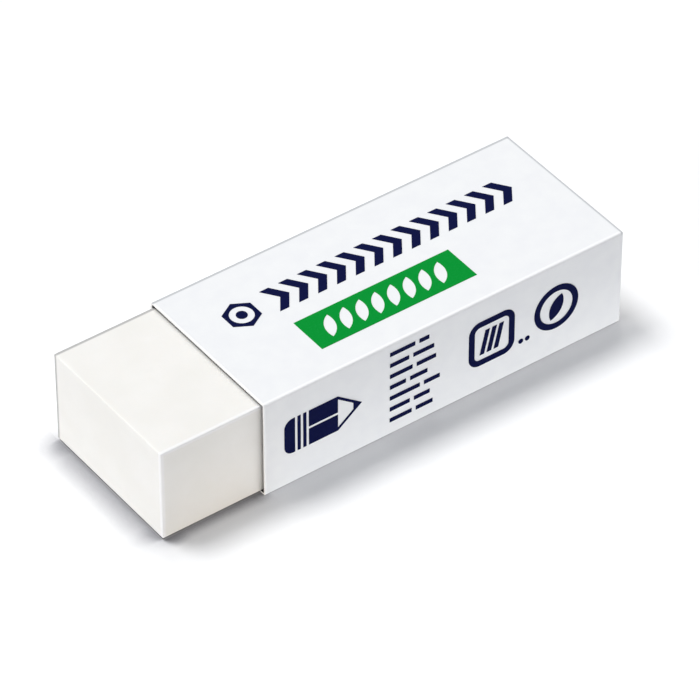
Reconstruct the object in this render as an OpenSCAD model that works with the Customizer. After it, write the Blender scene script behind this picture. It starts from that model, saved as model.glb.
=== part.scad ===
// Rubber eraser: a block of soft white rubber in a folded, printed card sleeve.
// Millimetres. +X runs along the block, away from its bare end. The sleeve stands on z = 0,
// and its printed long side faces -Y.

/* [Rubber block] */
// Length of the block
block_length = 65; // [58:0.5:80]
// Width of the block
block_width = 21.35; // [18:0.05:28]
// Height of the block
block_height = 12.85; // [11:0.05:18]
// Radius that softens every edge of the block
block_edge_radius = 0.15; // [0.1:0.05:1.5]

/* [Card sleeve] */
// Length of the sleeve, cut shorter than the block so that one end stays bare
sleeve_length = 51.7; // [49:0.1:57]
// Thickness of the card
card_thickness = 0.22; // [0.2:0.01:0.4]
// Radius on the outside of each fold
fold_outer_radius = 0.2; // [0.15:0.05:0.5]
// Radius on the inside of each fold, where the crease bulges and makes the card thicker
fold_inner_radius = 0.1; // [0.05:0.01:0.3]
// Depth of the glue flap, from the sleeve's top down behind the back panel
glue_flap_depth = 9; // [5:0.5:10]
// Strip of the glue flap left uncovered above the back panel's free edge
seam_strip = 0.35; // [0.1:0.05:1.5]

/* [Fit of the block in the sleeve] */
// Gap between the block and the front panel
front_gap = 0.5; // [0.1:0.05:0.7]
// Gap between the block and the glue flap
back_gap = 0.05; // [0.03:0.01:0.5]
// Gap between the block and the top panel
top_gap = 0.4; // [0.05:0.05:0.6]
// Gap between the block and the bottom panel
bottom_gap = 0.05; // [0.03:0.01:0.3]
// How deep the block's covered end lies inside the sleeve's far end
end_inset = 0.4; // [0:0.1:2]

/* [Print on the top] */
// Thickness of the ink, drawn thicker than a real ink film
ink_thickness = 0.04; // [0.02:0.01:0.1]
// Distance from the front edge of the top panel to the green field
green_field_offset = 4; // [2:0.1:5]
// Length of the green field
green_field_length = 22.2; // [16:0.1:34]
// Width of the green field
green_field_width = 5.6; // [4.6:0.1:6.4]
// Number of bare leaves in the green field
leaf_count = 8; // [3:1:9]
// Length of a leaf, tip to tip
leaf_length = 3.9; // [2.5:0.1:4.3]
// Width of a leaf
leaf_width = 1.45; // [0.8:0.05:1.6]
// Lean of a leaf away from upright, in degrees
leaf_lean = 25; // [0:1:35]
// Space between the green field's ends and its first and last leaf
leaf_row_margin = 1.7; // [0.5:0.1:3]
// Space between the green field and the chevron row
chevron_row_space = 2.6; // [1:0.1:2.8]
// Length of the chevron row
chevron_row_length = 35.2; // [24:0.1:37]
// Number of chevrons in the row
chevron_count = 13; // [6:1:15]
// Height of a chevron
chevron_height = 4.2; // [3:0.1:4.6]
// Thickness of a chevron, measured along the row
chevron_stroke = 1.3; // [0.8:0.05:1.5]
// How far a chevron's point stands forward
chevron_point = 1.5; // [0.6:0.1:2]
// Distance from the sleeve's mouth to the six-sided emblem
emblem_offset = 5.1; // [3:0.1:6]
// Height of the emblem, corner to corner
emblem_height = 4.7; // [3.6:0.1:5]
// Diameter of the bare ring inside the emblem
emblem_ring_diameter = 3; // [2.4:0.1:3]
// Diameter of the solid core inside the emblem
emblem_core_diameter = 1.4; // [0.8:0.1:2]
// Space between the emblem and the chevron row
emblem_space = 1.9; // [1:0.1:3]

/* [Print on the front side] */
// Height of the side print's centre line above the middle of the side
side_print_lift = 0.3; // [0:0.05:0.4]
// Distance from the sleeve's mouth to the pencil figure
pencil_offset = 2.8; // [1.5:0.1:4]
// Height of the pencil figure
pencil_height = 5.2; // [3.6:0.1:6]
// Length of the pencil's round-ended rubber
pencil_rubber_length = 1.5; // [1:0.1:2]
// Radius of that rubber's round corners
pencil_rubber_radius = 1.2; // [0.4:0.1:1.6]
// Width of each of the ferrule's two bands
ferrule_band_width = 0.45; // [0.3:0.05:0.6]
// Length of the pencil's painted barrel
pencil_barrel_length = 4.1; // [3:0.1:5]
// Length of the pencil's sharpened cone
pencil_cone_length = 3.4; // [2.6:0.1:4]
// Length of the lead at the cone's tip
pencil_lead_length = 1.2; // [0.8:0.1:1.6]
// Width of the figure's thin lines and of the bare lines between its fields
fine_line = 0.35; // [0.25:0.05:0.5]
// Space between the pencil figure and the field of bars
bar_field_space = 4; // [2:0.1:5]
// Width of the field of bars
bar_field_width = 7.2; // [6.4:0.1:8]
// Height of one bar
bar_height = 0.6; // [0.4:0.05:0.8]
// Space between the two bars of a row
bar_space = 0.6; // [0.3:0.05:1]
// Distance from one row of bars to the next
bar_pitch = 1.67; // [1.4:0.01:2.2]
// Least height kept bare between the rows of bars and the folds
bar_row_margin = 0.9; // [0.5:0.05:2]
// Space between the field of bars and the square mark
square_mark_space = 4.2; // [2:0.1:5]
// Width and height of the square mark
square_mark_size = 6.7; // [5:0.1:7.5]
// Corner radius of the square mark
square_mark_radius = 1.6; // [1.1:0.1:2.2]
// Bare width inside the square mark's frame
square_mark_margin = 0.75; // [0.3:0.05:1]
// Width of each of the three slanting bars in the square mark
hatch_width = 0.65; // [0.4:0.05:0.7]
// How far the top of a slanting bar leans past its foot
hatch_lean = 0.8; // [0:0.1:1]
// Line width of the square mark and the round mark
mark_stroke = 0.85; // [0.6:0.05:1]
// Space between the square mark and the round mark
round_mark_space = 2.9; // [2.2:0.1:3.5]
// Diameter of the round mark
round_mark_diameter = 6.5; // [5.5:0.1:7.5]
// Bare length between the round mark's ring and the tips of its leaf
round_mark_margin = 0.5; // [0.2:0.05:0.8]
// Width of the leaf in the round mark
round_mark_leaf_width = 1.8; // [1:0.1:2]
// Diameter of the two dots between the marks
dot_diameter = 0.7; // [0.4:0.1:0.8]

/* [Hidden] */
$fn = 64;

// Colours, as the object shows them
rubber_white = "#F3EFE8";
card_white = "#F7F8FA";
navy_ink = "#0B1450";
green_ink = "#009A38";

// Sleeve: the card wraps round the block and its gaps, with two layers of card at the back
sleeve_width = block_width + front_gap + back_gap + 3 * card_thickness;
sleeve_height = block_height + top_gap + bottom_gap + 2 * card_thickness;

// Places along X: the whole eraser is centred on x = 0
block_start = -(block_length + end_inset) / 2;
sleeve_end = block_start + block_length + end_inset;
sleeve_mouth = sleeve_end - sleeve_length;
sleeve_front = -sleeve_width / 2;

// Top print: two rows, each placed from the front edge of the top panel
chevron_row_offset = green_field_offset + green_field_width + chevron_row_space;
emblem_width = emblem_height * cos(30);
chevron_row_start = emblem_offset + emblem_width + emblem_space;
chevron_pitch = (chevron_row_length - chevron_stroke - chevron_point) / (chevron_count - 1);

// Half of the length that a leaning leaf takes along its row
leaf_reach = leaf_length / 2 * sin(leaf_lean) + leaf_width / 2 * cos(leaf_lean);
leaf_row_start = leaf_row_margin + leaf_reach;
leaf_pitch = (green_field_length - 2 * leaf_row_start) / (leaf_count - 1);

// Side print: one row of figures, each placed from the one before it
side_print_height = sleeve_height / 2 + side_print_lift;
ferrule_length = 2 * ferrule_band_width + 3 * fine_line;
pencil_length = pencil_rubber_length + ferrule_length + pencil_barrel_length + pencil_cone_length;
bar_field_start = pencil_offset + pencil_length + bar_field_space;
square_mark_start = bar_field_start + bar_field_width + square_mark_space;
round_mark_start = square_mark_start + square_mark_size + round_mark_space;
bar_row_room = sleeve_height - 2 * fold_outer_radius - 2 * bar_row_margin - bar_height;
bar_row_count = floor(bar_row_room / bar_pitch) + 1;

// Share of the field's width that each row's first bar takes, row after row
first_bar_share = [0.5, 0.38, 0.45, 0.32, 0.6, 0.4, 0.44];
// Share that both bars of a row take together, with the space between them
whole_row_share = [0.78, 0.88, 0.92, 0.75, 1, 0.8, 0.86];

// Rectangle with exact round corners
module rounded_rectangle(size, r) {
    translate([r, 0]) square([size.x - 2 * r, size.y]);
    translate([0, r]) square([size.x, size.y - 2 * r]);
    for (x = [r, size.x - r], y = [r, size.y - r]) translate([x, y]) circle(r);
}

// Stands a drawing in the YZ plane and runs it along +X
module run_along_x(length) {
    rotate([90, 0, 90]) linear_extrude(length) children();
}

// Block rounded along all twelve edges, with a ball at each corner
module rounded_block(size, r) {
    translate([r, 0, 0])
        run_along_x(size.x - 2 * r) rounded_rectangle([size.y, size.z], r);
    translate([0, size.y - r, 0])
        rotate([90, 0, 0]) linear_extrude(size.y - 2 * r) rounded_rectangle([size.x, size.z], r);
    translate([0, 0, r])
        linear_extrude(size.z - 2 * r) rounded_rectangle([size.x, size.y], r);
    for (x = [r, size.x - r], y = [r, size.y - r], z = [r, size.z - r])
        translate([x, y, z]) sphere(r);
}

module eraser_block() {
    color(rubber_white)
        translate([block_start, sleeve_front + card_thickness + front_gap, card_thickness + bottom_gap])
            rounded_block([block_length, block_width, block_height], block_edge_radius);
}

// End view of a closed tube of card, rounded outside and inside its four folds
module card_tube(width) {
    difference() {
        rounded_rectangle([width, sleeve_height], fold_outer_radius);
        translate([card_thickness, card_thickness])
            rounded_rectangle([width - 2 * card_thickness, sleeve_height - 2 * card_thickness],
                fold_inner_radius);
    }
}

// Bottom, front and top panels, and the glue flap that the top panel turns down at the back
module wrapped_panels() {
    // Everything of this tube that lies past the flap's inner face is cut away below the flap
    flap_inside = sleeve_width - 2 * card_thickness - fold_inner_radius;
    difference() {
        card_tube(sleeve_width - card_thickness);
        translate([flap_inside, 0]) square([sleeve_width - flap_inside, sleeve_height - glue_flap_depth]);
    }
}

// Back half of the bottom panel and the back panel, which rises outside the glue flap to its free edge
module back_panel() {
    intersection() {
        card_tube(sleeve_width);
        translate([sleeve_width / 2, 0])
            square([sleeve_width / 2, sleeve_height - fold_outer_radius - seam_strip]);
    }
}

module card_sleeve() {
    color(card_white)
        translate([sleeve_mouth, sleeve_front, 0])
            run_along_x(sleeve_length) {
                wrapped_panels();
                back_panel();
            }
}

// Lays a drawing on the top panel, from its corner at the mouth and the front edge
module print_on_top() {
    translate([sleeve_mouth, sleeve_front, sleeve_height]) linear_extrude(ink_thickness) children();
}

// Lays a drawing on the front panel, from its corner at the mouth and the bottom edge
module print_on_side() {
    translate([sleeve_mouth, sleeve_front, 0]) rotate([90, 0, 0]) linear_extrude(ink_thickness) children();
}

module chevron() {
    polygon([
        [0, 0],
        [chevron_stroke, 0],
        [chevron_stroke + chevron_point, chevron_height / 2],
        [chevron_stroke, chevron_height],
        [0, chevron_height],
        [chevron_point, chevron_height / 2]
    ]);
}

// End view of a six-sided pencil: a solid rim, a bare ring and a solid core
module emblem() {
    difference() {
        rotate(30) circle(d = emblem_height, $fn = 6);
        circle(d = emblem_ring_diameter);
    }
    circle(d = emblem_core_diameter);
}

module navy_print_top() {
    color(navy_ink)
        print_on_top() {
            translate([emblem_offset + emblem_width / 2, chevron_row_offset + chevron_height / 2]) emblem();
            for (i = [0 : chevron_count - 1])
                translate([chevron_row_start + i * chevron_pitch, chevron_row_offset]) chevron();
        }
}

// Pointed leaf, upright, with its middle at the origin: the overlap of two equal circles
module leaf(length, width) {
    arc_radius = (pow(length / 2, 2) + pow(width / 2, 2)) / width;
    intersection() {
        translate([width / 2 - arc_radius, 0]) circle(arc_radius);
        translate([arc_radius - width / 2, 0]) circle(arc_radius);
    }
}

module green_print() {
    color(green_ink)
        print_on_top()
            translate([chevron_row_start, green_field_offset])
                difference() {
                    square([green_field_length, green_field_width]);
                    for (i = [0 : leaf_count - 1])
                        translate([leaf_row_start + i * leaf_pitch, green_field_width / 2])
                            rotate(-leaf_lean) leaf(leaf_length, leaf_width);
                }
}

// Pencil with a rubber end, seen from the side, from the middle of its rubber end
module pencil() {
    ferrule_start = pencil_rubber_length + fine_line;
    barrel_start = pencil_rubber_length + ferrule_length;
    cone_start = barrel_start + pencil_barrel_length;
    half_height = pencil_height / 2;
    // Height that a line of the cone takes at its base, and the length that it takes off the tip
    line_rise = fine_line * sqrt(1 + pow(half_height / pencil_cone_length, 2));
    line_run = line_rise * pencil_cone_length / half_height;
    lead_half_height = half_height * pencil_lead_length / pencil_cone_length;
    // Rubber, round at its end
    translate([0, -half_height])
        intersection() {
            rounded_rectangle([pencil_rubber_length + 2 * pencil_rubber_radius, pencil_height],
                pencil_rubber_radius);
            square([pencil_rubber_length, pencil_height]);
        }
    // Ferrule
    for (x = [0, ferrule_band_width + fine_line])
        translate([ferrule_start + x, -half_height]) square([ferrule_band_width, pencil_height]);
    // Barrel, as two painted faces with a bare line between them
    for (y = [-half_height, fine_line / 2])
        translate([barrel_start, y]) square([pencil_barrel_length, half_height - fine_line / 2]);
    // Cone, as two thin lines and a solid lead
    translate([cone_start, 0]) {
        difference() {
            polygon([[0, -half_height], [pencil_cone_length, 0], [0, half_height]]);
            polygon([
                [0, line_rise - half_height],
                [pencil_cone_length - line_run, 0],
                [0, half_height - line_rise]
            ]);
        }
        translate([pencil_cone_length - pencil_lead_length, 0])
            polygon([[0, -lead_half_height], [pencil_lead_length, 0], [0, lead_half_height]]);
    }
}

// Rows of two bars each, centred in height on the origin
module bar_field() {
    for (row = [0 : bar_row_count - 1]) {
        row_height = ((bar_row_count - 1) / 2 - row) * bar_pitch;
        first_bar = bar_field_width * first_bar_share[row % len(first_bar_share)];
        whole_row = bar_field_width * whole_row_share[row % len(whole_row_share)];
        translate([0, row_height - bar_height / 2]) {
            square([first_bar, bar_height]);
            translate([first_bar + bar_space, 0]) square([whole_row - first_bar - bar_space, bar_height]);
        }
    }
}

// Frame with round corners round three slanting bars
module square_mark() {
    inside = square_mark_size - 2 * mark_stroke;
    hatch_height = inside - 2 * square_mark_margin;
    hatch_pitch = (hatch_height - hatch_lean - hatch_width) / 2;
    hatch_corner = mark_stroke + square_mark_margin;
    translate([0, -square_mark_size / 2]) {
        difference() {
            rounded_rectangle([square_mark_size, square_mark_size], square_mark_radius);
            translate([mark_stroke, mark_stroke])
                rounded_rectangle([inside, inside], square_mark_radius - mark_stroke);
        }
        for (i = [0 : 2])
            translate([hatch_corner + i * hatch_pitch, hatch_corner])
                polygon([
                    [0, 0],
                    [hatch_width, 0],
                    [hatch_width + hatch_lean, hatch_height],
                    [hatch_lean, hatch_height]
                ]);
    }
}

// Ring round a leaf
module round_mark() {
    inside = round_mark_diameter - 2 * mark_stroke;
    difference() {
        circle(d = round_mark_diameter);
        circle(d = inside);
    }
    rotate(-leaf_lean) leaf(inside - 2 * round_mark_margin, round_mark_leaf_width);
}

module navy_print_side() {
    color(navy_ink)
        print_on_side()
            translate([0, side_print_height]) {
                translate([pencil_offset, 0]) pencil();
                translate([bar_field_start, 0]) bar_field();
                translate([square_mark_start, 0]) square_mark();
                translate([round_mark_start + round_mark_diameter / 2, 0]) round_mark();
                for (share = [1 / 3, 2 / 3]) {
                    dot_place = round_mark_start - share * round_mark_space;
                    translate([dot_place, dot_diameter - square_mark_size / 2]) circle(d = dot_diameter);
                }
            }
}

eraser_block();
card_sleeve();
navy_print_top();
navy_print_side();
green_print();
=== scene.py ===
"""Rubber eraser in a folded card sleeve: the finish of its block, card and print, on a plain stage.

Laid out as an add-on and run as a script. Lengths are in metres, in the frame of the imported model:
+X runs away from the block's bare end, and the sleeve's printed long side faces -Y.
"""

import math

import bmesh
import bpy
from bpy.props import FloatProperty, FloatVectorProperty, IntProperty, PointerProperty
from bpy.types import Operator, Panel, PropertyGroup
from mathutils import Matrix, Vector, noise


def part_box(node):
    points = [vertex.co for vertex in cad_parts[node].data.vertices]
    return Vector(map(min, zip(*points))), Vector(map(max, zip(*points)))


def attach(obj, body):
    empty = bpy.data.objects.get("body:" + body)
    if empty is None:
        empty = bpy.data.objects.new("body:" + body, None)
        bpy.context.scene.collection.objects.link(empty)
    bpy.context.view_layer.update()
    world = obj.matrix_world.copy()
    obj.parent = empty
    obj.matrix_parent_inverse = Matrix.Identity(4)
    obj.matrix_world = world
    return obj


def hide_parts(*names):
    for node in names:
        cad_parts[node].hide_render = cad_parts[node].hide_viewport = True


bl_info = {
    "name": "Rubber Eraser",
    "version": (1, 0, 0),
    "blender": (4, 5, 0),
    "location": "View3D > Sidebar > Eraser",
    "description": "Builds a rubber eraser in a printed card sleeve around its packed model",
    "category": "Add Mesh",
}

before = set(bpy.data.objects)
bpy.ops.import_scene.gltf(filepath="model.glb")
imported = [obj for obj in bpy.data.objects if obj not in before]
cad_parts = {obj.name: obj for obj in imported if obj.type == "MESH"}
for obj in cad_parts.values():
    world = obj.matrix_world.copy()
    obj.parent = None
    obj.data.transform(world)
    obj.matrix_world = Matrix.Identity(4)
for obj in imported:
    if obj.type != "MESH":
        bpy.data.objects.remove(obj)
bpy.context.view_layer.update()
MM = 0.001


def linear(hex_colour):
    """Linear RGB values of an sRGB colour that is written as #RRGGBB."""
    shares = [int(hex_colour[i : i + 2], 16) / 255 for i in (1, 3, 5)]
    return [s / 12.92 if s <= 0.04045 else ((s + 0.055) / 1.055) ** 2.4 for s in shares]


def length_setting(name, description, default_mm):
    """A length that a user can change, with its default given in millimetres."""
    return FloatProperty(name=name, description=description, default=default_mm * MM, min=0, unit="LENGTH")


def angle_setting(name, description, default_degrees):
    """An angle that a user can change, with its default given in degrees."""
    return FloatProperty(
        name=name, description=description, default=math.radians(default_degrees), unit="ROTATION"
    )


def strength_setting(name, description, default):
    """A strength of light that a user can change."""
    return FloatProperty(name=name, description=description, default=default, min=0)


def colour_setting(name, description, default_hex):
    """A colour that a user can change, with its default given as an sRGB hex value."""
    return FloatVectorProperty(
        name=name, description=description, default=linear(default_hex), subtype="COLOR", min=0, max=1
    )


class EraserBlockSettings(PropertyGroup):
    edge_radius: length_setting("Edge Radius", "Radius that softens the block's edges", 0.15)
    edge_segments: IntProperty(
        name="Edge Segments", description="Faces across each soft edge", default=4, min=2, max=12
    )
    # The band carries the painted highlight of the front edges and the painted shade of the back edges
    edge_band: length_setting("Edge Band", "Width over which an edge's own tone fades into a face", 0.4)
    grid_pitch: length_setting("Grid Pitch", "Distance between the cuts that let the faces dip", 1.0)
    dip: length_setting("Dip", "How far the moulded faces dip below flat at most", 0.03)
    dip_size: length_setting("Dip Size", "Distance from one shallow dip to the next", 11)
    colour: colour_setting("Colour", "Colour of the rubber", "#F8F6F1")
    shade: colour_setting("Shade", "Colour of the rubber's faint clouds", "#F4F2EC")
    # Painted highlight: the two front edges are painted paler, standing in for light on them
    edge_highlight_colour: colour_setting("Edge Colour", "Colour of the thin edges, which let light through", "#FFFEFC")
    # Painted shade: the two back edges are painted grey, standing in for shade along them
    shade_paint_colour: colour_setting("Dust Colour", "Colour of pencil dust on the two back edges", "#B8B7B5")


class EraserSleeveSettings(PropertyGroup):
    card_thickness: length_setting("Card Thickness", "Thickness of the card", 0.22)
    fold_outer_radius: length_setting("Fold Outer Radius", "Radius on the outside of each fold", 0.2)
    fold_inner_radius: length_setting("Fold Inner Radius", "Radius on the inside of each fold", 0.1)
    fold_segments: IntProperty(
        name="Fold Segments", description="Faces round each fold", default=5, min=2, max=12
    )
    flap_depth: length_setting("Flap Depth", "Depth of the glue flap behind the back panel", 9)
    seam_strip: length_setting("Seam Strip", "Strip of the flap left bare above the back panel", 0.35)
    glue_line: length_setting("Glue Line", "Hairline between the glue flap and the back panel", 0.02)
    cut_softening: length_setting("Cut Softening", "Radius that the die leaves on the card's cut edges", 0.03)
    # The rim band carries the painted shade along the back fold and the far end
    rim_band: length_setting("Rim Band", "Width of the greyed rim along the back fold and the far end", 0.32)
    # Painted shade: the inside of the mouth is painted dark over this depth
    mouth_shade_band: length_setting("Dust Band", "Depth inside the mouth that pencil dust greys", 1.6)
    colour: colour_setting("Colour", "Colour of the coated face", "#F5F6F6")
    cloud_colour: colour_setting("Cloud Colour", "Colour of the coating's faint clouds", "#F2F3F4")
    # Painted highlight: the folds and the mouth's edge are painted whiter, standing in for light on them
    fold_highlight_colour: colour_setting("Crease Colour", "Colour of the coating along the folds", "#FFFFFF")
    # Painted shade: the rim along the back fold and the top's far end is painted grey
    rim_shade_colour: colour_setting("Rim Colour", "Colour of the greyed rim", "#C2C4C6")
    back_colour: colour_setting("Back Colour", "Colour of the card's uncoated back", "#E9E6DF")
    fibre_colour: colour_setting("Fibre Colour", "Colour of the card's fibres", "#D6D1C6")
    # Painted shade: the colour that the inside of the mouth is painted
    shade_paint_colour: colour_setting("Dust Colour", "Colour of pencil dust inside the mouth", "#2E2D2C")
    core_colour: colour_setting("Core Colour", "Colour of the card where it is cut", "#FDFCFA")


class EraserPrintSettings(PropertyGroup):
    navy: colour_setting("Navy", "Colour of the navy ink", "#030A3A")
    navy_thin: colour_setting("Thin Navy", "Colour of the navy ink where it lies thinner", "#0A1448")
    green: colour_setting("Green", "Colour of the green ink", "#009232")
    green_thin: colour_setting("Thin Green", "Colour of the green ink where it lies thinner", "#12993F")


class EraserStageSettings(PropertyGroup):
    floor_size: length_setting("Floor Size", "Half the width of the floor", 4000)
    floor_drop: length_setting("Floor Drop", "Distance that keeps the floor off the sleeve's underside", 0.01)
    floor_colour: colour_setting("Floor Colour", "Colour of the pale floor", "#F4F4F5")
    end_reach: length_setting("End Reach", "Reach of the contact shade before the bare end", 5.5)
    side_reach: length_setting("Side Reach", "Reach of the contact shade before the bare side", 2.2)
    ambient: strength_setting("Ambient", "Strength of the even light from all sides", 0.30)
    ambient_colour: colour_setting("Ambient Colour", "Colour of the even light from all sides", "#F3F6FE")
    key_strength: strength_setting("Key Strength", "Strength of the key lamp", 1.75)
    key_azimuth: angle_setting("Key Azimuth", "Side that the key lamp shines from", -151)
    key_elevation: angle_setting("Key Elevation", "Height of the key lamp above the floor", 66.3)
    key_spread: angle_setting("Key Spread", "Apparent width of the key and back lamps", 22)
    back_strength: strength_setting("Back Strength", "Strength of the lamp behind the far end", 0.55)
    back_azimuth: angle_setting("Back Azimuth", "Side that the back lamp shines from", 150)
    back_elevation: angle_setting("Back Elevation", "Height of the back lamp above the floor", 66.3)
    end_strength: strength_setting("End Strength", "Strength of the lamp on the bare end", 0.8)
    end_azimuth: angle_setting("End Azimuth", "Side that the end lamp shines from", -95)
    end_elevation: angle_setting("End Elevation", "Height of the end lamp above the floor", 8)
    front_strength: strength_setting("Front Strength", "Strength of the lamp on the printed side", 0.205)
    front_azimuth: angle_setting("Front Azimuth", "Side that the front lamp shines from", -20)
    front_elevation: angle_setting("Front Elevation", "Height of the front lamp above the floor", 16)
    side_spread: angle_setting("Side Spread", "Apparent width of the end and front lamps", 20)
    card_reflector: strength_setting("Card Reflector", "Brightness of the strip before the sleeve", 0.9)
    card_reflector_width: length_setting("Card Reflector Width", "Width of the strip before the sleeve", 8.5)
    card_reflector_colour: colour_setting(
        "Card Reflector Colour", "Colour of the strip before the sleeve", "#FFFFFF"
    )
    rubber_reflector: strength_setting("Rubber Reflector", "Brightness of the strip before the block", 0.58)
    rubber_reflector_width: length_setting(
        "Rubber Reflector Width", "Width of the strip before the block", 22
    )
    rubber_reflector_colour: colour_setting(
        "Rubber Reflector Colour", "Colour of the strip before the block", "#FFF2E1"
    )
    camera_azimuth: angle_setting("Camera Azimuth", "Side that the camera looks from", -36.275)
    camera_elevation: angle_setting("Camera Elevation", "Height of the camera above the floor", 41.099)
    camera_distance: length_setting("Camera Distance", "Distance from the camera to its aim", 633.59)
    camera_aim: FloatVectorProperty(
        name="Camera Aim",
        description="Point that the middle of the picture shows",
        default=(0.264 * MM, -1.483 * MM, 5.308 * MM),
        subtype="TRANSLATION",
        unit="LENGTH",
    )
    camera_lens: FloatProperty(
        name="Camera Lens", description="Focal length on a sensor 36 mm wide", default=279.8, unit="CAMERA"
    )


def add_node(tree, kind, settings, output=0):
    """Adds a node and gives one of its outputs. A setting named for an input, or numbered as one, is that
    input's value or the socket it is linked from, and any other setting is an attribute of the node."""
    node = tree.nodes.new(kind)
    for key, value in settings.items():
        if not isinstance(key, int) and key not in node.inputs:
            setattr(node, key, value)
        elif isinstance(value, bpy.types.NodeSocket):
            tree.links.new(value, node.inputs[key])
        else:
            node.inputs[key].default_value = value
    return node.outputs[output] if len(node.outputs) else None


def new_material(name):
    """An empty node material, its tree and its pattern coordinates, which count metres on the piece."""
    material = bpy.data.materials.new(name)
    material.use_nodes = True
    tree = material.node_tree
    tree.nodes.clear()
    return material, tree, add_node(tree, "ShaderNodeTexCoord", {}, "Object")


def moulded_rubber(settings):
    """Moulded and cut elastomer with chalk filler: a matt, slightly warm white into which light sinks a
    little. Its two front edges are painted paler, a painted highlight, and its two back edges are painted
    grey, a painted shade."""
    material, tree, place = new_material("moulded_eraser_rubber")
    clouds = add_node(tree, "ShaderNodeTexNoise", {"Vector": place, "Scale": 1 / (6 * MM), "Detail": 3})
    clouds = add_node(tree, "ShaderNodeMapRange", {"Value": clouds, "From Min": 0.35, "From Max": 0.65})
    # Grains of filler, drawn 0.3 mm across so that they just show
    specks = add_node(tree, "ShaderNodeTexNoise", {"Vector": place, "Scale": 1 / (0.3 * MM), "Detail": 1})
    specks = add_node(
        tree, "ShaderNodeMapRange", {"Value": specks, "From Min": 0.3, "From Max": 0.8, "To Max": 0.35}
    )
    faces = {"data_type": "RGBA", 0: clouds, 6: (*settings.colour, 1), 7: (*settings.shade, 1)}
    colour = add_node(tree, "ShaderNodeMix", faces, 2)
    colour = add_node(
        tree, "ShaderNodeMix", {"data_type": "RGBA", 0: specks, 6: colour, 7: (*settings.shade, 1)}, 2
    )
    # Painted highlight on the two front edges, and painted shade on the two back edges
    for edge, tone in (("edge", settings.edge_highlight_colour), ("dust", settings.shade_paint_colour)):
        share = add_node(tree, "ShaderNodeAttribute", {"attribute_name": edge}, "Fac")
        share = add_node(tree, "ShaderNodeMapRange", {"Value": share, "From Max": 0.6})
        colour = add_node(
            tree, "ShaderNodeMix", {"data_type": "RGBA", 0: share, 6: colour, 7: (*tone, 1)}, 2
        )
    # Drag lines of the mould run along the block, 0.5 mm apart
    drawn_out = add_node(tree, "ShaderNodeMapping", {"Vector": place, "Scale": (0.03, 1, 1)})
    lines = add_node(tree, "ShaderNodeTexNoise", {"Vector": drawn_out, "Scale": 1 / (0.5 * MM)})
    grain = add_node(tree, "ShaderNodeTexNoise", {"Vector": place, "Scale": 1 / (0.16 * MM)})
    normal = add_node(tree, "ShaderNodeBump", {"Height": lines, "Distance": 0.008 * MM, "Strength": 0.5})
    normal = add_node(
        tree, "ShaderNodeBump", {"Height": grain, "Distance": 0.008 * MM, "Strength": 0.6, "Normal": normal}
    )
    roughness = add_node(tree, "ShaderNodeMapRange", {"Value": clouds, "To Min": 0.62, "To Max": 0.70})
    surface = add_node(
        tree,
        "ShaderNodeBsdfPrincipled",
        {
            "Base Color": colour,
            "Roughness": roughness,
            "IOR": 1.5,
            "Specular IOR Level": 0.4,
            "Subsurface Weight": 0.12,
            "Subsurface Radius": (1.0, 0.9, 0.8),
            "Subsurface Scale": 0.3 * MM,
            "Normal": normal,
        },
    )
    add_node(tree, "ShaderNodeOutputMaterial", {"Surface": surface})
    return material


def coated_card(settings):
    """Folding card with a clay coating under satin varnish: a cool, even white with a soft sheen. A painted
    highlight lies along the folds and the mouth's edge, and a painted shade greys the back fold and the top's
    far end."""
    material, tree, place = new_material("coated_folding_card")
    clouds = add_node(tree, "ShaderNodeTexNoise", {"Vector": place, "Scale": 1 / (2.2 * MM), "Detail": 3})
    clouds = add_node(tree, "ShaderNodeMapRange", {"Value": clouds, "From Min": 0.35, "From Max": 0.65})
    faces = {"data_type": "RGBA", 0: clouds, 6: (*settings.colour, 1), 7: (*settings.cloud_colour, 1)}
    colour = add_node(tree, "ShaderNodeMix", faces, 2)
    shares = []
    # Painted highlight along the folds and the mouth's edge, and painted shade along the back fold and the
    # top's far end
    for edge, tone in (("fold", settings.fold_highlight_colour), ("rim", settings.rim_shade_colour)):
        share = add_node(tree, "ShaderNodeAttribute", {"attribute_name": edge}, "Fac")
        shares.append(add_node(tree, "ShaderNodeMapRange", {"Value": share, "From Max": 0.6}))
        colour = add_node(
            tree, "ShaderNodeMix", {"data_type": "RGBA", 0: shares[-1], 6: colour, 7: (*tone, 1)}, 2
        )
    # Paper grain under the varnish is 0.35 mm across, and fine cracks of the coating cross each fold
    grain = add_node(tree, "ShaderNodeTexNoise", {"Vector": place, "Scale": 1 / (0.35 * MM)})
    cracks = add_node(tree, "ShaderNodeTexNoise", {"Vector": place, "Scale": 1 / (0.12 * MM), "Detail": 3})
    cracks = add_node(tree, "ShaderNodeMath", {"operation": "MULTIPLY", 0: cracks, 1: shares[0]})
    normal = add_node(tree, "ShaderNodeBump", {"Height": grain, "Distance": 0.006 * MM, "Strength": 0.5})
    normal = add_node(
        tree, "ShaderNodeBump", {"Height": cracks, "Distance": 0.02 * MM, "Strength": 0.5, "Normal": normal}
    )
    roughness = add_node(tree, "ShaderNodeMapRange", {"Value": shares[0], "To Min": 0.42, "To Max": 0.5})
    surface = add_node(
        tree,
        "ShaderNodeBsdfPrincipled",
        {
            "Base Color": colour,
            "Roughness": roughness,
            "IOR": 1.5,
            "Specular IOR Level": 0.4,
            "Normal": normal,
        },
    )
    add_node(tree, "ShaderNodeOutputMaterial", {"Surface": surface})
    return material


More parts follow.
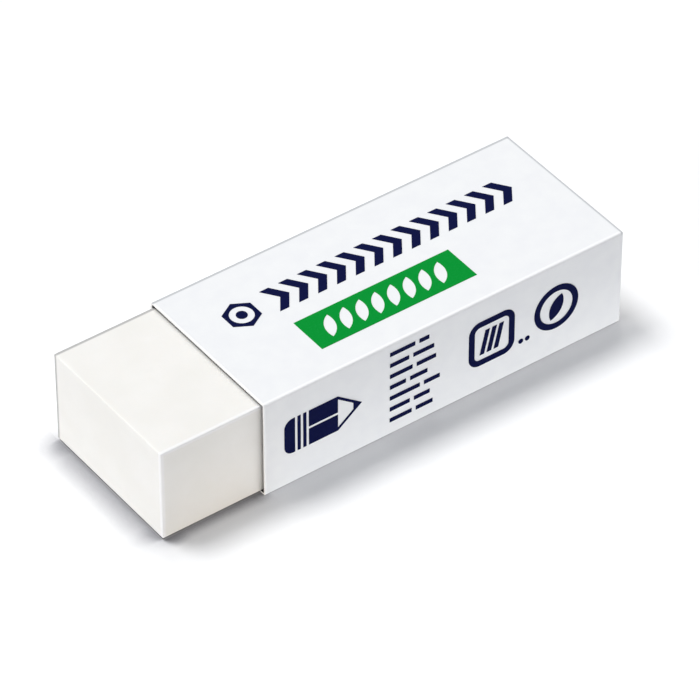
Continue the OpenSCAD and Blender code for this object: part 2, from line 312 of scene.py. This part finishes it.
def uncoated_card(settings):
    """Uncoated back of the folding card: a duller, warmer white with fibres that show, and no sheen. Inside
    the mouth it is painted dark, a painted shade that deepens the gap beside the block."""
    material, tree, place = new_material("uncoated_card_back")
    clouds = add_node(tree, "ShaderNodeTexNoise", {"Vector": place, "Scale": 1 / (3 * MM), "Detail": 3})
    clouds = add_node(tree, "ShaderNodeMapRange", {"Value": clouds, "From Min": 0.3, "From Max": 0.7})
    # Fibres lie mostly along the card's grain. Real ones are 0.03 mm wide, and are drawn 0.22 mm wide so that
    # they show
    along = add_node(tree, "ShaderNodeMapping", {"Vector": place, "Scale": (0.2, 1, 1)})
    fibres = add_node(
        tree,
        "ShaderNodeTexNoise",
        {"Vector": along, "Scale": 1 / (0.22 * MM), "Detail": 4, "Roughness": 0.65},
    )
    strands = add_node(
        tree, "ShaderNodeMapRange", {"Value": fibres, "From Min": 0.5, "From Max": 0.72, "To Max": 0.75}
    )
    sheet = {"data_type": "RGBA", 0: clouds, 6: (*settings.back_colour, 1), 7: (*settings.core_colour, 1)}
    colour = add_node(tree, "ShaderNodeMix", sheet, 2)
    strewn = {"data_type": "RGBA", 0: strands, 6: colour, 7: (*settings.fibre_colour, 1)}
    colour = add_node(tree, "ShaderNodeMix", strewn, 2)
    # Painted shade: near the mouth the inside is painted dark, so that the gap beside the block reads as
    # shade
    dust = add_node(tree, "ShaderNodeAttribute", {"attribute_name": "dust"}, "Fac")
    dust = add_node(tree, "ShaderNodeMapRange", {"Value": dust, "From Max": 0.7})
    darkened = {"data_type": "RGBA", 0: dust, 6: colour, 7: (*settings.shade_paint_colour, 1)}
    roughness = add_node(tree, "ShaderNodeMapRange", {"Value": fibres, "To Min": 0.75, "To Max": 0.95})
    normal = add_node(tree, "ShaderNodeBump", {"Height": fibres, "Distance": 0.03 * MM, "Strength": 0.6})
    surface = add_node(
        tree,
        "ShaderNodeBsdfPrincipled",
        {
            "Base Color": add_node(tree, "ShaderNodeMix", darkened, 2),
            "Roughness": roughness,
            "Specular IOR Level": 0.25,
            "Normal": normal,
        },
    )
    add_node(tree, "ShaderNodeOutputMaterial", {"Surface": surface})
    return material


def cut_card(settings):
    """Die-cut edge of bleached card: a bright, matt white core, with the layers of fibre just showing."""
    material, tree, place = new_material("cut_card_core")
    # Layers of fibre lie flat in the card, about 0.1 mm apart
    layers = add_node(
        tree,
        "ShaderNodeTexNoise",
        {"Vector": place, "Scale": 1 / (0.12 * MM), "Detail": 3, "Roughness": 0.6},
    )
    share = add_node(
        tree, "ShaderNodeMapRange", {"Value": layers, "From Min": 0.4, "From Max": 0.75, "To Max": 0.45}
    )
    core = {"data_type": "RGBA", 0: share, 6: (*settings.core_colour, 1), 7: (*settings.back_colour, 1)}
    roughness = add_node(tree, "ShaderNodeMapRange", {"Value": layers, "To Min": 0.75, "To Max": 0.92})
    normal = add_node(tree, "ShaderNodeBump", {"Height": layers, "Distance": 0.02 * MM, "Strength": 0.6})
    surface = add_node(
        tree,
        "ShaderNodeBsdfPrincipled",
        {
            "Base Color": add_node(tree, "ShaderNodeMix", core, 2),
            "Roughness": roughness,
            "Specular IOR Level": 0.25,
            "Normal": normal,
        },
    )
    add_node(tree, "ShaderNodeOutputMaterial", {"Surface": surface})
    return material


def offset_ink(name, colour, thin_colour):
    """Offset ink on coated card: an even, full colour that dries almost without a sheen, and lies a little
    thinner in fine spots."""
    material, tree, place = new_material(name)
    # Spots that the ink leaves thin follow the paper's grain, 0.25 mm across
    spots = add_node(
        tree,
        "ShaderNodeTexNoise",
        {"Vector": place, "Scale": 1 / (0.25 * MM), "Detail": 3, "Roughness": 0.6},
    )
    share = add_node(
        tree, "ShaderNodeMapRange", {"Value": spots, "From Min": 0.45, "From Max": 0.8, "To Max": 0.7}
    )
    ink = {"data_type": "RGBA", 0: share, 6: (*colour, 1), 7: (*thin_colour, 1)}
    roughness = add_node(tree, "ShaderNodeMapRange", {"Value": spots, "To Min": 0.4, "To Max": 0.55})
    normal = add_node(tree, "ShaderNodeBump", {"Height": spots, "Distance": 0.006 * MM, "Strength": 0.5})
    surface = add_node(
        tree,
        "ShaderNodeBsdfPrincipled",
        {
            "Base Color": add_node(tree, "ShaderNodeMix", ink, 2),
            "Roughness": roughness,
            "IOR": 1.5,
            "Specular IOR Level": 0.03,
            "Normal": normal,
        },
    )
    add_node(tree, "ShaderNodeOutputMaterial", {"Surface": surface})
    return material


def backdrop_paper(settings):
    """Wide roll of white paper: plain diffuse white that keeps the eraser's shadow, with a contact shade at
    the block's foot painted into the colour that the camera sees.
    """
    material, tree, place = new_material("white_backdrop_paper")
    # A contact shade is painted into the floor's seen colour at the foot of the bare block, where the light
    # that its walls throw down would wash out a real one. It is looked for from before the end, and from
    # before the long side as far as the sleeve's mouth. Under the block a part of it stays
    end_share, side_share, under_share = 0.64, 0.61, 0.75
    block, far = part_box("eraser_block")
    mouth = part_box("card_sleeve")[0].x
    along, across = (add_node(tree, "ShaderNodeSeparateXYZ", {"Vector": place}, axis) for axis in "XY")
    beyond_end = add_node(tree, "ShaderNodeMath", {"operation": "LESS_THAN", 0: along, 1: block.x})
    before_side = add_node(tree, "ShaderNodeMath", {"operation": "LESS_THAN", 0: across, 1: block.y})
    clear = add_node(tree, "ShaderNodeMath", {"operation": "MAXIMUM", 0: beyond_end, 1: before_side})
    clear = add_node(tree, "ShaderNodeMapRange", {"Value": clear, "To Min": under_share})
    blend = 1 * MM
    bare = {"Value": along, "From Min": mouth + blend, "From Max": mouth - blend, "To Max": side_share}
    bare = add_node(tree, "ShaderNodeMapRange", bare)
    # The floor is as open as this where the shade is darkest. Less of the block is seen from beside its
    # corners, so the shade comes sooner there
    end_open, end_corner_open = 0.42, 0.6
    side_open, side_corner_open = 0.485, 0.65
    corner = 3 * MM
    middle, half = (block.y + far.y) / 2, (far.y - block.y) / 2
    off_middle = add_node(tree, "ShaderNodeMath", {"operation": "SUBTRACT", 0: across, 1: middle})
    off_middle = add_node(tree, "ShaderNodeMath", {"operation": "ABSOLUTE", 0: off_middle})
    to_end = {"Value": along, "From Min": block.x + corner, "From Max": block.x}
    sooner = add_node(tree, "ShaderNodeMapRange", {**to_end, "To Min": end_open, "To Max": end_corner_open})
    to_corner = {"Value": off_middle, "From Min": half - corner, "From Max": half}
    at_end = add_node(tree, "ShaderNodeMapRange", {**to_corner, "To Min": end_open, "To Max": sooner})
    at_side = {**to_end, "To Min": side_open, "To Max": side_corner_open}
    at_side = add_node(tree, "ShaderNodeMapRange", at_side)
    bare_paper, fade, blue_fill = 1.04, 2.4, 0.94
    shade = bare_paper
    for facing, reach, darkest, share in (
        ((0.95, -0.15, 0.25), settings.end_reach, at_end, end_share),
        ((-0.2, 0.85, 0.25), settings.side_reach, at_side, bare),
    ):
        toward_wall = add_node(tree, "ShaderNodeCombineXYZ", dict(zip("XYZ", facing)))
        contact = {"samples": 16, "Distance": reach, "Normal": toward_wall}
        openness = add_node(tree, "ShaderNodeAmbientOcclusion", contact, "AO")
        dark = add_node(tree, "ShaderNodeMapRange", {"Value": openness, "From Min": 1.0, "From Max": darkest})
        dark = add_node(tree, "ShaderNodeMath", {"operation": "POWER", 0: dark, 1: fade})
        for part in (share, clear):
            dark = add_node(tree, "ShaderNodeMath", {"operation": "MULTIPLY", 0: dark, 1: part})
        light = add_node(tree, "ShaderNodeMath", {"operation": "SUBTRACT", 0: 1.0, 1: dark})
        shade = add_node(tree, "ShaderNodeMath", {"operation": "MULTIPLY", 0: light, 1: shade})
    # The painted shade is tinted a little blue, as daylight from the room would tint it
    blue = add_node(tree, "ShaderNodeMath", {"operation": "POWER", 0: shade, 1: blue_fill})
    tint = add_node(tree, "ShaderNodeCombineColor", {"Red": shade, "Green": shade, "Blue": blue})
    seen = add_node(tree, "ShaderNodeBsdfDiffuse", {"Color": tint})
    paper = add_node(tree, "ShaderNodeBsdfDiffuse", {"Color": (*settings.floor_colour, 1)})
    surface = add_node(tree, "ShaderNodeMixShader", {0: seen_share(tree), 1: paper, 2: seen})
    add_node(tree, "ShaderNodeOutputMaterial", {"Surface": surface})
    return material


def seen_share(tree):
    """1 where the camera sees a thing by itself, in a gloss or through glass, and 0 where light does."""
    share = 0.0
    for ray in ("Is Camera Ray", "Is Glossy Ray", "Is Transmission Ray"):
        path = add_node(tree, "ShaderNodeLightPath", {}, ray)
        share = add_node(tree, "ShaderNodeMath", {"operation": "MAXIMUM", 0: share, 1: path})
    return share


def cut_across(bm, axis, places):
    """Cuts a mesh right through with a plane across an axis at each place."""
    direction = Vector([i == axis for i in range(3)])
    for place in places:
        bmesh.ops.bisect_plane(
            bm,
            geom=bm.verts[:] + bm.edges[:] + bm.faces[:],
            dist=0.0001 * MM,
            plane_co=direction * place,
            plane_no=direction,
        )


def soften_edges(bm, edges, offset, segments):
    """Rounds edges of a mesh."""
    bmesh.ops.bevel(
        bm,
        geom=edges,
        offset=offset,
        offset_type="OFFSET",
        segments=segments,
        profile=0.5,
        affect="EDGES",
        material=-1,
    )


def write_attribute(mesh, name, values):
    """Stores one number for each vertex under a name that materials can read."""
    mesh.attributes.new(name, "FLOAT", "POINT").data.foreach_set("value", values)


def new_piece(bm, name, materials, body, node):
    """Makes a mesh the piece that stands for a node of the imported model, with smooth shading."""
    mesh = bpy.data.meshes.new(name)
    bm.to_mesh(mesh)
    bm.free()
    mesh.shade_smooth()
    for material in materials:
        mesh.materials.append(material)
    piece = bpy.data.objects.new(name, mesh)
    bpy.context.scene.collection.objects.link(piece)
    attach(piece, body)
    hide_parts(node)
    return piece


def even_places(low, high, margin, pitch):
    """Places about one pitch apart between two margins, both margins among them."""
    start = low + margin
    room = high - low - 2 * margin
    count = max(1, round(room / pitch))
    return [start + room * i / count for i in range(count + 1)]


class ERASER_OT_rubber_block(Operator):
    """Adds the rubber block, with soft edges and faces that dip very slightly"""

    bl_idname = "eraser.rubber_block"
    bl_label = "Rubber Block"

    def execute(self, context):
        settings = context.scene.eraser_block
        low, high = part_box("eraser_block")
        bm = bmesh.new()
        bmesh.ops.create_cube(bm, size=1, matrix=Matrix.LocRotScale((low + high) / 2, None, high - low))
        soften_edges(bm, bm.edges[:], settings.edge_radius, settings.edge_segments)
        # The first and last cut of each row bound the band that an edge's painted highlight or painted shade
        # fades over
        band = settings.edge_radius + settings.edge_band
        for axis in range(3):
            cut_across(bm, axis, even_places(low[axis], high[axis], band, settings.grid_pitch))
        bm.normal_update()
        pale, darkened = [], []
        for vertex in bm.verts:
            from_low, from_high = vertex.co - low, high - vertex.co
            front_edges = (from_low.y, from_high.z), (from_low.y, from_low.x)
            back_edges = (from_high.y, from_high.z), (from_high.y, from_low.x)
            # The front edges get the painted highlight and the back edges the painted shade, each fading over
            # the band
            for shares, edges in ((pale, front_edges), (darkened, back_edges)):
                reach = min(max(edge) for edge in edges)
                shares.append(min(1, max(0, (band - reach) / settings.edge_band)))
            depth = 0.5 + 0.5 * noise.noise(vertex.co / settings.dip_size)
            vertex.co -= vertex.normal * settings.dip * min(1, max(0, depth))
        piece = new_piece(
            bm, "rubber_block", [moulded_rubber(settings)], "block", "eraser_block"
        )
        write_attribute(piece.data, "edge", pale)
        write_attribute(piece.data, "dust", darkened)
        return {"FINISHED"}


class ERASER_OT_card_sleeve(Operator):
    """Adds the sleeve as one strip of card, folded four times and glued along its back"""

    bl_idname = "eraser.card_sleeve"
    bl_label = "Card Sleeve"

    def execute(self, context):
        settings = context.scene.eraser_sleeve
        low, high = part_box("card_sleeve")
        card = settings.card_thickness
        flap_side = high.y - card - settings.glue_line
        flap_edge = high.z - settings.flap_depth
        free_edge = high.z - settings.fold_outer_radius - settings.seam_strip
        # Section of the strip: its outside from the glue flap's edge round to the back panel's free edge,
        # then its inside
        folds = [(flap_side, high.z), (low.y, high.z), (low.y, low.z), (high.y, low.z)]
        outside = [(flap_side, flap_edge), *folds, (high.y, free_edge)]
        inside = [
            (flap_side - card, flap_edge),
            (flap_side - card, high.z - card),
            (low.y + card, high.z - card),
            (low.y + card, low.z + card),
            (high.y - card, low.z + card),
            (high.y - card, free_edge),
        ]
        bm = bmesh.new()
        corners = [bm.verts.new((low.x, y, z)) for y, z in outside + inside[::-1]]
        section = bm.faces.new(corners)
        swept = bmesh.ops.extrude_face_region(bm, geom=[section])["geom"]
        far_corners = [part for part in swept if isinstance(part, bmesh.types.BMVert)]
        bmesh.ops.translate(bm, verts=far_corners, vec=(high.x - low.x, 0, 0))
        bmesh.ops.recalc_face_normals(bm, faces=bm.faces[:])
        coated, uncoated, cut = range(3)
        near = 0.001 * MM
        for face in bm.faces:
            places = {(round(v.co.y / near), round(v.co.z / near)) for v in face.verts}
            if places <= {(round(y / near), round(z / near)) for y, z in outside}:
                face.material_index = coated
            elif places <= {(round(y / near), round(z / near)) for y, z in inside}:
                face.material_index = uncoated
            else:
                face.material_index = cut
        for finish, radius in ((coated, settings.fold_outer_radius), (uncoated, settings.fold_inner_radius)):
            creases = [e for e in bm.edges if all(f.material_index == finish for f in e.link_faces)]
            soften_edges(bm, creases, radius, settings.fold_segments)
        # Cuts beside the folds and the ends bound the bands that a fold's painted highlight and a rim's
        # painted shade fade over
        band = settings.fold_outer_radius + settings.rim_band
        cut_across(bm, 1, [low.y + band, flap_side - band])
        cut_across(bm, 2, [low.z + band, high.z - band])
        cut_pitch = 4 * MM
        cut_across(bm, 0, even_places(low.x, high.x, settings.rim_band, cut_pitch))
        cut_across(bm, 0, [low.x + settings.mouth_shade_band])
        sharp = [e for e in bm.edges if len({f.material_index for f in e.link_faces}) == 2]
        soften_edges(bm, sharp, settings.cut_softening, segments=3)
        fold_highlight, greyed, darkened = [], [], []
        for vertex in bm.verts:
            # A fold's painted highlight reaches on to the level panel, but only round the fold on the upright
            # one. The mouth's edge gets it too
            upright = band / settings.fold_outer_radius
            reaches = [max(abs(vertex.co.y - y), abs(vertex.co.z - z) * upright) for y, z in folds]
            from_mouth = band - settings.rim_band + vertex.co.x - low.x
            fold_highlight.append(max(0, (band - min(from_mouth, *reaches)) / settings.rim_band))
            # Painted shade along the back fold and the top's far end
            back_fold = (band - reaches[0]) / settings.rim_band
            far_end = 1 - max(high.x - vertex.co.x, high.z - vertex.co.z) / settings.rim_band
            greyed.append(min(1, max(0, back_fold, far_end)))
            # Painted shade inside the mouth, fading over its band
            darkened.append(max(0, 1 - (vertex.co.x - low.x) / settings.mouth_shade_band))
        finishes = [coated_card(settings), uncoated_card(settings), cut_card(settings)]
        piece = new_piece(bm, "folded_card_sleeve", finishes, "sleeve", "card_sleeve")
        write_attribute(piece.data, "fold", fold_highlight)
        write_attribute(piece.data, "rim", greyed)
        write_attribute(piece.data, "dust", darkened)
        return {"FINISHED"}


class ERASER_OT_print(Operator):
    """Gives the printed fields on the sleeve their inks"""

    bl_idname = "eraser.print"
    bl_label = "Print"

    def execute(self, context):
        settings = context.scene.eraser_print
        navy = offset_ink("navy_offset_ink", settings.navy, settings.navy_thin)
        green = offset_ink("green_offset_ink", settings.green, settings.green_thin)
        for node, ink in (("navy_print_top", navy), ("navy_print_side", navy), ("green_print", green)):
            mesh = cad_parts[node].data
            mesh.materials.clear()
            mesh.materials.append(ink)
        return {"FINISHED"}


def toward(azimuth, elevation):
    """Unit vector from the eraser to what stands at an azimuth and elevation. Azimuth 0 is -Y."""
    level = math.cos(elevation)
    return Vector((math.sin(azimuth) * level, -math.cos(azimuth) * level, math.sin(elevation)))


def place_object(name, data, place, back):
    """Adds a lamp or camera that stands at a place and looks away from the direction behind it."""
    stand = bpy.data.objects.new(name, data)
    stand.location = place
    stand.rotation_mode = "QUATERNION"
    stand.rotation_quaternion = back.to_track_quat("Z", "Y")
    bpy.context.scene.collection.objects.link(stand)
    return stand


class ERASER_OT_stage(Operator):
    """Adds the white floor, the light and the camera"""

    bl_idname = "eraser.stage"
    bl_label = "Stage"

    def execute(self, context):
        scene = context.scene
        settings = scene.eraser_stage
        bm = bmesh.new()
        bmesh.ops.create_grid(
            bm,
            x_segments=1,
            y_segments=1,
            size=settings.floor_size,
            matrix=Matrix.Translation((0, 0, -settings.floor_drop)),
        )
        mesh = bpy.data.meshes.new("floor")
        bm.to_mesh(mesh)
        bm.free()
        mesh.materials.append(backdrop_paper(settings))
        floor = bpy.data.objects.new("floor", mesh)
        scene.collection.objects.link(floor)

        scene.world = bpy.data.worlds.new("studio")
        scene.world.use_nodes = True
        tree = scene.world.node_tree
        tree.nodes.clear()
        seen = seen_share(tree)
        strength = add_node(tree, "ShaderNodeMix", {0: seen, "A": settings.ambient, "B": 1.0})
        tint = {"data_type": "RGBA", 0: seen, 6: (*settings.ambient_colour, 1), 7: (1, 1, 1, 1)}
        colour = add_node(tree, "ShaderNodeMix", tint, 2)
        light = add_node(tree, "ShaderNodeBackground", {"Color": colour, "Strength": strength})
        add_node(tree, "ShaderNodeOutputWorld", {"Surface": light})

        for name in ("key", "back", "end", "front"):
            spread = settings.key_spread if name in ("key", "back") else settings.side_spread
            lamp = bpy.data.lights.new(name + "_lamp", "SUN")
            lamp.energy = getattr(settings, name + "_strength")
            lamp.angle = spread
            back = toward(getattr(settings, name + "_azimuth"), getattr(settings, name + "_elevation"))
            place_object(name + "_lamp", lamp, back, back)
        # Strips just above the floor throw light up at the long side, as paper there would. They aren't seen
        past_end, strip_height = 4 * MM, 0.05 * MM
        sleeve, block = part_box("card_sleeve"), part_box("eraser_block")
        for name, start, end, front in (
            ("card_reflector", sleeve[0].x, sleeve[1].x + past_end, sleeve[0].y),
            ("rubber_reflector", block[0].x, sleeve[0].x, block[0].y),
        ):
            strip = bpy.data.lights.new(name, "AREA")
            strip.shape = "RECTANGLE"
            strip.size = end - start
            strip.size_y = getattr(settings, name + "_width")
            strip.energy = getattr(settings, name) * math.pi * strip.size * strip.size_y
            strip.color = getattr(settings, name + "_colour")
            middle = Vector(((start + end) / 2, front - strip.size_y / 2, strip_height))
            stand = place_object(name, strip, middle, Vector((0, 0, -1)))
            stand.visible_camera = stand.visible_glossy = False

        camera = bpy.data.cameras.new("camera")
        camera.lens = settings.camera_lens
        camera.sensor_width = 36
        camera.clip_start = 10 * MM
        camera.clip_end = 20
        back = toward(settings.camera_azimuth, settings.camera_elevation)
        place = Vector(settings.camera_aim) + back * settings.camera_distance
        scene.camera = place_object("camera", camera, place, back)
        scene.view_settings.view_transform = "Standard"
        return {"FINISHED"}


class ERASER_PT_sidebar(Panel):
    """Lists the eraser's pieces and their settings"""

    bl_idname = "ERASER_PT_sidebar"
    bl_label = "Eraser"
    bl_space_type = "VIEW_3D"
    bl_region_type = "UI"
    bl_category = "Eraser"

    def draw(self, context):
        for operator, (name, group) in zip(OPERATORS, SETTINGS.items()):
            box = self.layout.box()
            box.operator(operator.bl_idname)
            for setting in group.__annotations__:
                box.prop(getattr(context.scene, name), setting)


OPERATORS = (ERASER_OT_rubber_block, ERASER_OT_card_sleeve, ERASER_OT_print, ERASER_OT_stage)
SETTINGS = {
    "eraser_block": EraserBlockSettings,
    "eraser_sleeve": EraserSleeveSettings,
    "eraser_print": EraserPrintSettings,
    "eraser_stage": EraserStageSettings,
}


def register():
    for cls in (*SETTINGS.values(), *OPERATORS, ERASER_PT_sidebar):
        bpy.utils.register_class(cls)
    for name, group in SETTINGS.items():
        setattr(bpy.types.Scene, name, PointerProperty(type=group))


def unregister():
    for name in SETTINGS:
        delattr(bpy.types.Scene, name)
    for cls in (ERASER_PT_sidebar, *OPERATORS, *SETTINGS.values()):
        bpy.utils.unregister_class(cls)


def main():
    register()
    bpy.ops.eraser.rubber_block()
    bpy.ops.eraser.card_sleeve()
    bpy.ops.eraser.print()
    bpy.ops.eraser.stage()


if __name__ == "__main__":
    main()
